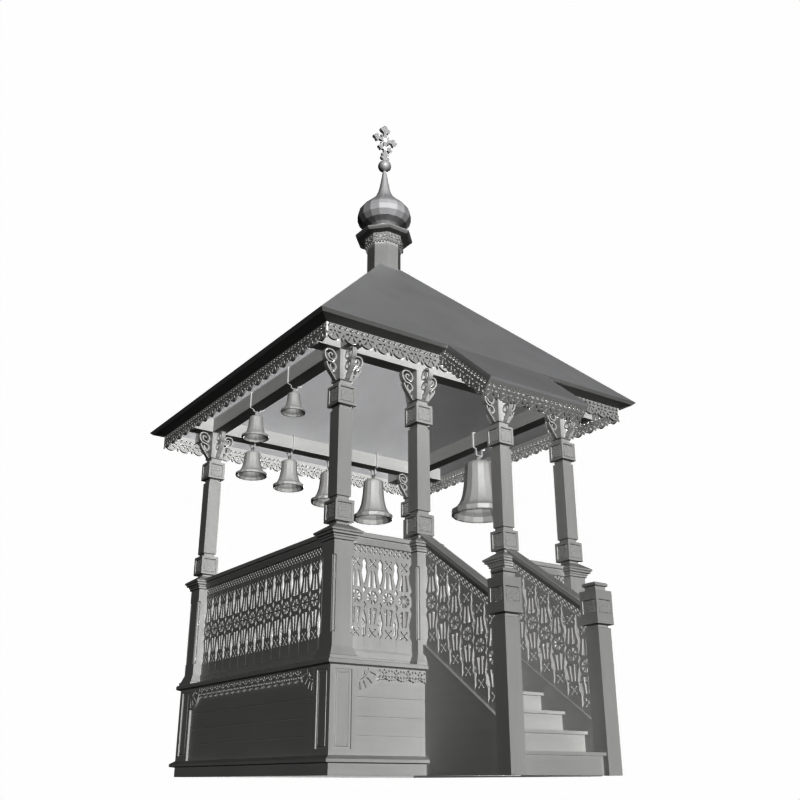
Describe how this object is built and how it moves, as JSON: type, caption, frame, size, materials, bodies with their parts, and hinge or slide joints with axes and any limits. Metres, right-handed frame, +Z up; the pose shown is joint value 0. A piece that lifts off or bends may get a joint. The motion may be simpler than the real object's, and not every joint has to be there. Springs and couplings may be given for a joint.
{
  "type": "timber bell tower",
  "caption": "Open timber belfry on a sided base with steps, carved balustrade, pyramid roof with lace boards, onion dome, cross and hanging bells.",
  "frame": {"origin": "on the ground under the middle of the whole object, steps and eaves included; the belfry's own plan centre stands 328.5 mm behind it", "axes": "+Z up; the steps are at the front, on -Y; +X is to the right as one faces the steps"},
  "size_m": [3.884, 4.541, 7.6668],
  "materials": {
    "painted_timber": "matt grey paint over boards",
    "sheet_metal": "matt grey painted sheet with seams",
    "bell_bronze": "dull grey cast metal",
    "strap_iron": "forged, dull"
  },
  "bodies": {
    "tower": {"plinth": "painted_timber", "front_wall": "painted_timber", "back_wall": "painted_timber", "left_wall": "painted_timber", "right_wall": "painted_timber", "corner_pilasters": "painted_timber", "frieze": "painted_timber", "deck": "painted_timber", "deck_belt": "painted_timber", "stair_treads": "painted_timber", "stair_risers": "painted_timber", "stair_walls": "painted_timber", "newels": "painted_timber", "stair_rails": "painted_timber", "stair_fretwork_left": "painted_timber", "stair_fretwork_right": "painted_timber", "pedestals": "painted_timber", "top_rails": "painted_timber", "fretwork_front_left": "painted_timber", "fretwork_front_right": "painted_timber", "fretwork_left": "painted_timber", "fretwork_right": "painted_timber", "fretwork_back": "painted_timber", "post_front_left": "painted_timber", "post_door_left": "painted_timber", "post_door_right": "painted_timber", "post_front_right": "painted_timber", "post_back_left": "painted_timber", "post_back_right": "painted_timber", "post_brackets": "painted_timber", "front_beam": "painted_timber", "back_beam": "painted_timber", "left_beam": "painted_timber", "right_beam": "painted_timber", "soffit": "painted_timber", "lace_front": "painted_timber", "lace_back": "painted_timber", "lace_left": "painted_timber", "lace_right": "painted_timber", "awning_frame": "painted_timber", "awning_lace": "painted_timber", "drum": "painted_timber", "collar_lace": "painted_timber", "cornice": "painted_timber", "roof_front": "sheet_metal", "roof_back": "sheet_metal", "roof_left": "sheet_metal", "roof_right": "sheet_metal", "awning_roof": "sheet_metal", "onion_dome": "sheet_metal", "ball": "sheet_metal", "cross": "sheet_metal", "bell_straps": "strap_iron"},
    "bell_left_front": {"bell_left_front": "bell_bronze"},
    "bell_left_back": {"bell_left_back": "bell_bronze"},
    "bell_back_1": {"bell_back_1": "bell_bronze"},
    "bell_back_2": {"bell_back_2": "bell_bronze"},
    "bell_back_3": {"bell_back_3": "bell_bronze"},
    "bell_back_4": {"bell_back_4": "bell_bronze"},
    "great_bell": {"great_bell": "bell_bronze"}
  },
  "joints": [
    {"name": "bell_left_front_swing", "type": "hinge", "parent": "tower", "child": "bell_left_front", "pos_m": [-1.37, -0.1285, 3.57605], "axis": [1, 0, 0], "range_deg": [-10, 10]},
    {"name": "bell_left_back_swing", "type": "hinge", "parent": "tower", "child": "bell_left_back", "pos_m": [-1.37, 0.6835, 3.58683], "axis": [1, 0, 0], "range_deg": [-10, 10]},
    {"name": "bell_back_1_swing", "type": "hinge", "parent": "tower", "child": "bell_back_1", "pos_m": [-0.898, 1.6985, 3.5654], "axis": [0, 1, 0], "range_deg": [-6, 6]},
    {"name": "bell_back_2_swing", "type": "hinge", "parent": "tower", "child": "bell_back_2", "pos_m": [-0.41, 1.6985, 3.55658], "axis": [0, 1, 0], "range_deg": [-6, 6]},
    {"name": "bell_back_3_swing", "type": "hinge", "parent": "tower", "child": "bell_back_3", "pos_m": [0.146, 1.6985, 3.52088], "axis": [0, 1, 0], "range_deg": [-6, 6]},
    {"name": "bell_back_4_swing", "type": "hinge", "parent": "tower", "child": "bell_back_4", "pos_m": [0.786, 1.6985, 3.53392], "axis": [0, 1, 0], "range_deg": [-6, 6]},
    {"name": "great_bell_swing", "type": "hinge", "parent": "tower", "child": "great_bell", "pos_m": [1.37, 0.3285, 3.52748], "axis": [1, 0, 0], "range_deg": [-10, 10]}
  ]
}
